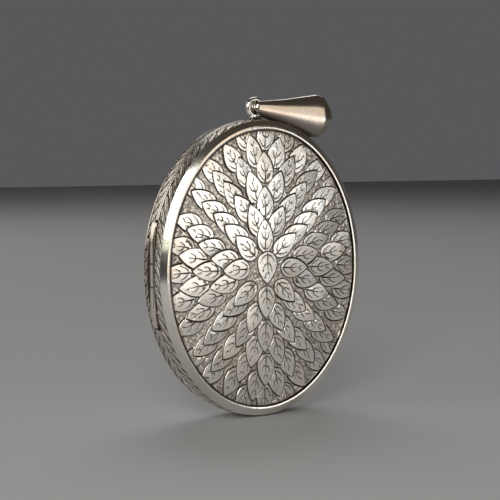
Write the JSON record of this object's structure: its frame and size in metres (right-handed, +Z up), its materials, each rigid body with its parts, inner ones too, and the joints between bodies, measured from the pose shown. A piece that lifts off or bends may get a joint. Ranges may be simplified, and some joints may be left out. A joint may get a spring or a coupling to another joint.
{
  "type": "pill box pendant",
  "caption": "Oval hinged pendant case with a leaf-engraved lid, chased sides, milled parting edges, a gilt inside, a pendant ring and a tapered swinging bail.",
  "frame": {"origin": "middle of the bounding box's base: on the parting plane between the halves, on the case's upright centreline, at the lowest point of its oval", "axes": "+Z up along the oval's long axis towards the pendant ring, -Y out of the lid's engraved face, +X away from the hinge"},
  "size_m": [0.0379, 0.0068, 0.0513],
  "materials": {
    "engraved_silver": "engraved sterling silver, polished leaves with darkened cuts",
    "polished_silver": "polished sterling silver, lightly worn",
    "chased_silver": "chased sterling silver with tarnish in the cuts",
    "milled_silver": "milled rope edge, sterling silver",
    "gilt_silver": "satin gilt sheet",
    "card": "plain aged card",
    "window": "clear, thin",
    "hinge_silver": "satin silver tube and wire"
  },
  "bodies": {
    "lid": {"lid_panel": "engraved_silver", "lid_bezel": "polished_silver", "lid_band": "chased_silver", "lid_milled_edge": "milled_silver", "lid_lining": "gilt_silver", "picture_card": "card", "picture_window": "window", "picture_frame": "gilt_silver", "thumb_lip": "polished_silver", "lid_knuckle": "hinge_silver"},
    "case": {"back_panel": "engraved_silver", "back_bezel": "polished_silver", "back_band": "chased_silver", "back_milled_edge": "milled_silver", "back_lining": "gilt_silver", "closing_lip": "gilt_silver", "catch_bead": "gilt_silver", "upper_knuckle": "hinge_silver", "lower_knuckle": "hinge_silver", "hinge_pin": "hinge_silver", "pendant_base": "polished_silver", "pendant_ring": "polished_silver"},
    "bail": {"bail": "polished_silver"}
  },
  "joints": [
    {"name": "lid_hinge", "type": "hinge", "parent": "case", "child": "lid", "pos_m": [-0.01815, 0, 0.02325], "axis": [0, 0, -1], "range_deg": [0, 120]},
    {"name": "bail_swing", "type": "hinge", "parent": "case", "child": "bail", "pos_m": [0, 0, 0.04902], "axis": [0, -1, 0], "range_deg": [0, 192]}
  ]
}
